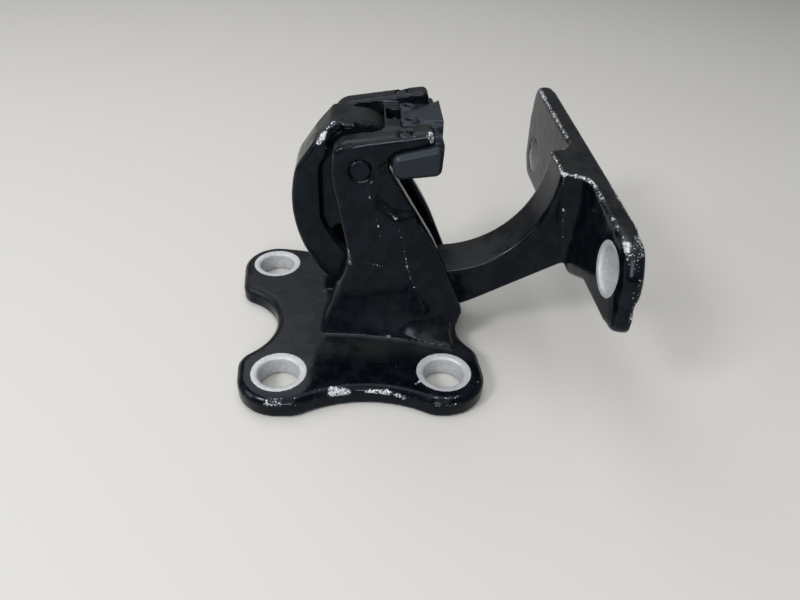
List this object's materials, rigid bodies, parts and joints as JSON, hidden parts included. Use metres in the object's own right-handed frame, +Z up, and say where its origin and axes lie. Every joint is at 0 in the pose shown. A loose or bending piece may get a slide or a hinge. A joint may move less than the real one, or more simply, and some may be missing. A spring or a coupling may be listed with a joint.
{
  "type": "boot lid hinge",
  "caption": "Gooseneck boot lid hinge: a lugged bracket with two cheeks carries a curved arm on a riveted pin; the arm ends in an upright bolting plate.",
  "frame": {"origin": "on the underside of the base plate, straight below the middle of the pivot pin", "axes": "+Z up from the base plate, +X towards the lid plate, +Y along the pivot pin to the rear"},
  "size_m": [0.1214, 0.1229, 0.0823],
  "materials": {
    "bracket_paint": "gloss black paint over forged aluminium, worn at the edges",
    "arm_paint": "gloss black paint over forged aluminium, worn at the edges",
    "pin_steel": "painted over at the ends",
    "bush_bronze": "plain",
    "washer_steel": "plain",
    "buffer_rubber": "matt"
  },
  "bodies": {
    "bracket": {"base_bracket": "bracket_paint", "pivot_pin": "pin_steel", "front_washer": "washer_steel", "rear_washer": "washer_steel", "stop_buffer": "buffer_rubber"},
    "arm": {"lid_arm": "arm_paint", "front_bush": "bush_bronze", "rear_bush": "bush_bronze"}
  },
  "joints": [
    {"name": "lid_pivot", "type": "hinge", "parent": "bracket", "child": "arm", "pos_m": [0, 0, 0.068], "axis": [0, -1, 0], "range_deg": [0, 100]}
  ]
}
